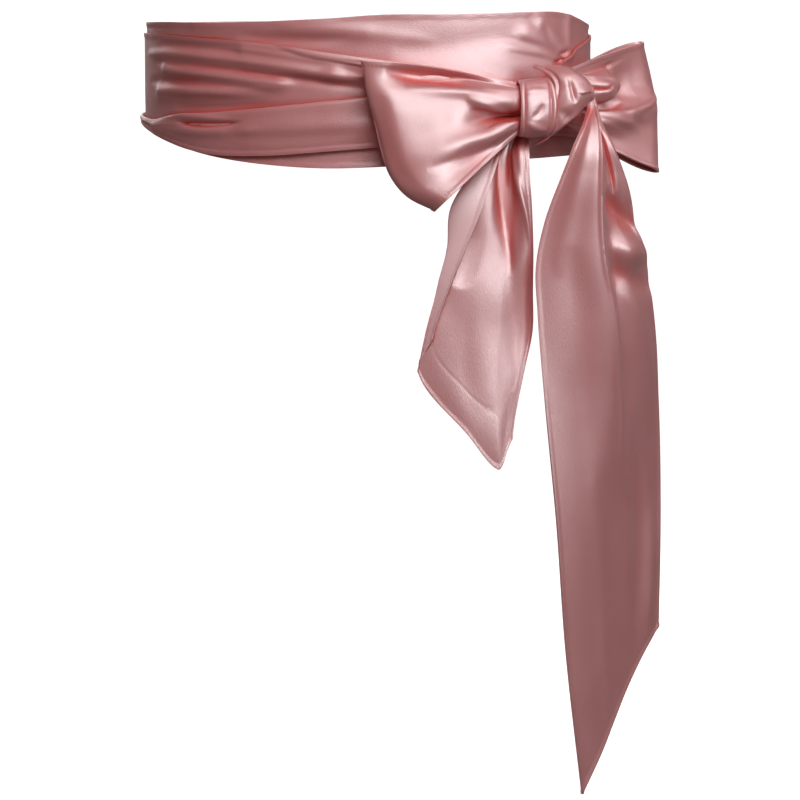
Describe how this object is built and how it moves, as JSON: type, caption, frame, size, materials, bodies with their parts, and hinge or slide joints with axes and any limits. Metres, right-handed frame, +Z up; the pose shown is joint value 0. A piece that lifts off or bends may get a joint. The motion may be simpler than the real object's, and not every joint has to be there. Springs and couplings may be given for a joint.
{
  "type": "satin sash tied in a bow",
  "caption": "Satin waist sash, wound round the waist and tied at the front corner in a bow with hanging tails, open and hollow as worn.",
  "frame": {"origin": "on the axis of the waist, at the middle height of the sash's band, where the wearer's waist holds it", "axes": "+Z up, along the waist and the hanging tails; -Y is the front; +X is the side that carries the bow"},
  "size_m": [0.332, 0.2405, 0.4821],
  "materials": {
    "satin": "smooth blush pink satin with a soft directional sheen, stitched narrow hems"
  },
  "bodies": {
    "root": {"band_inner_wrap": "satin", "band_outer_wrap": "satin", "knot_band": "satin", "knot_cross": "satin", "bow_loop_left": "satin", "bow_loop_right": "satin", "tail_left": "satin", "tail_right": "satin"}
  },
  "joints": []
}
